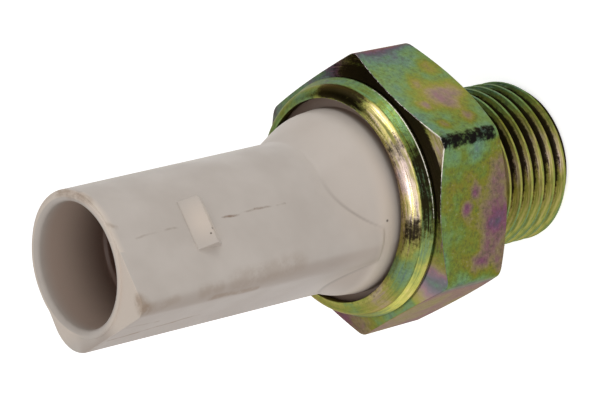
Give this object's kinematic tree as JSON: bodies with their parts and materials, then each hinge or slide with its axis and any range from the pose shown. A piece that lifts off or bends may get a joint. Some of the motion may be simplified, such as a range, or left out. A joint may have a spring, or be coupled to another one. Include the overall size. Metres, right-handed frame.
{
  "type": "oil pressure sender",
  "caption": "Oil pressure sender with a plated hexagon body, threaded spigot, rolled rim and a moulded socket housing for a blade terminal.",
  "frame": {"origin": "centre of the flat end face of the threaded spigot", "axes": "+Z along the axis from the thread to the connector's mouth, +Y towards the latch nub, +X towards the connector's flat base side"},
  "size_m": [0.0246, 0.0274, 0.0545],
  "materials": {
    "plated_steel": "zinc plated steel with an iridescent yellow chromate film, worn and stained",
    "black_rubber": "matt",
    "polyimide_foil": "clear amber foil",
    "plain_steel": "stamped, bare",
    "spring_steel": "drawn wire",
    "brass": "stamped, bare",
    "tinned_brass": "tinned",
    "silver_contact": "silver faced",
    "white_plastic": "moulded, satin",
    "grey_plastic": "glass filled, satin, with brown stains"
  },
  "bodies": {
    "sender": {"hex_body": "plated_steel", "diaphragm_seal": "black_rubber", "diaphragm_lower": "polyimide_foil", "diaphragm_upper": "polyimide_foil", "clamp_ring": "plain_steel", "earth_contact": "brass", "housing_seal": "black_rubber", "contact_spring": "spring_steel", "spring_cup": "brass", "terminal_blade": "tinned_brass", "connector_housing": "grey_plastic"},
    "moving_contact": {"pressure_plate": "plain_steel", "push_pin": "white_plastic", "contact_plate": "brass", "contact_rivet_base_side": "silver_contact", "contact_rivet_round_side": "silver_contact"}
  },
  "joints": [
    {"name": "contact_lift", "type": "slide", "parent": "sender", "child": "moving_contact", "axis": [0, 0, 1], "range_m": [0, 0.0004], "stiffness_N_per_m": 500, "deforming": ["contact_spring"]}
  ]
}
